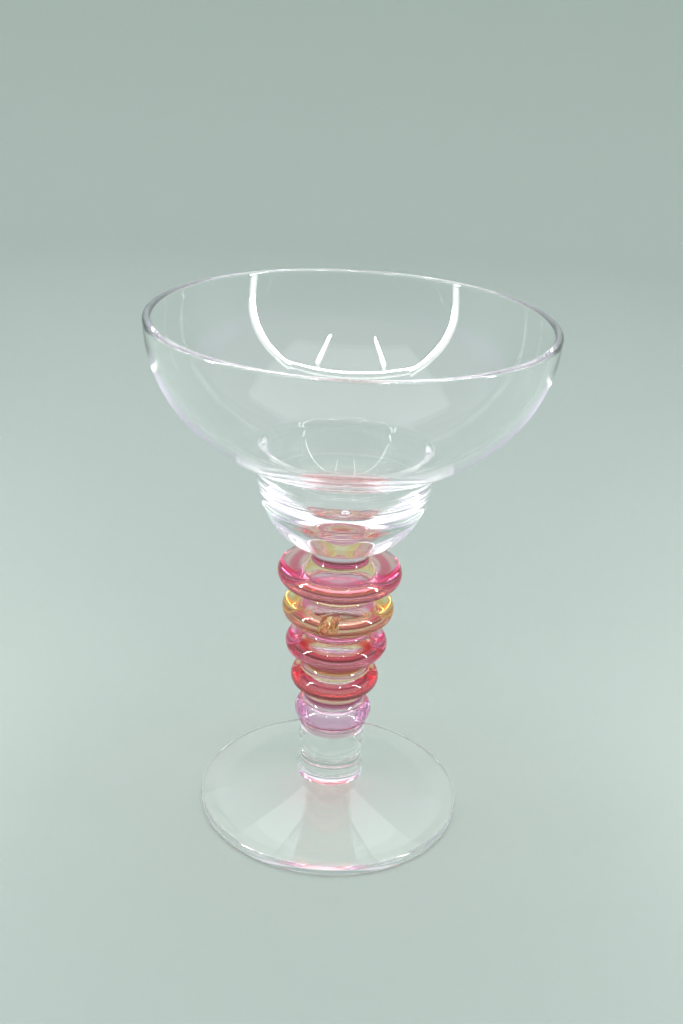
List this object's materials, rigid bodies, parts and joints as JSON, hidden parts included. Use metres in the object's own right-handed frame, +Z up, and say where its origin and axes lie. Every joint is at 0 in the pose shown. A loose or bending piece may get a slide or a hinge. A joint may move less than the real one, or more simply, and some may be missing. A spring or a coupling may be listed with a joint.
{
  "type": "cocktail glass",
  "caption": "Wide round cocktail glass with a stepped well, a stem of stacked coloured rings, a short clear post and a round, low conical foot that is hollow underneath.",
  "frame": {"origin": "on the axis, at the height of the surface the glass stands on", "axes": "+Z up along the axis that every piece is turned about; X and Y are alike"},
  "size_m": [0.1338, 0.1338, 0.184],
  "materials": {
    "clear_glass": "fire-polished, colourless",
    "ruby_glass": "fire-polished, thin ruby to magenta stain, deepest at the edge",
    "amber_glass": "fire-polished, thin amber stain with a redder underside",
    "pink_glass": "fire-polished, thin pink stain",
    "red_glass": "fire-polished, thin deep red stain with amber edges",
    "lilac_glass": "fire-polished, thin lilac-pink stain"
  },
  "bodies": {
    "root": {"bowl": "clear_glass", "bowl_base": "clear_glass", "stem_ring_1": "ruby_glass", "stem_ring_2": "amber_glass", "stem_ring_3": "pink_glass", "stem_ring_4": "red_glass", "stem_ring_5": "lilac_glass", "stem_post": "clear_glass", "foot": "clear_glass"}
  },
  "joints": []
}
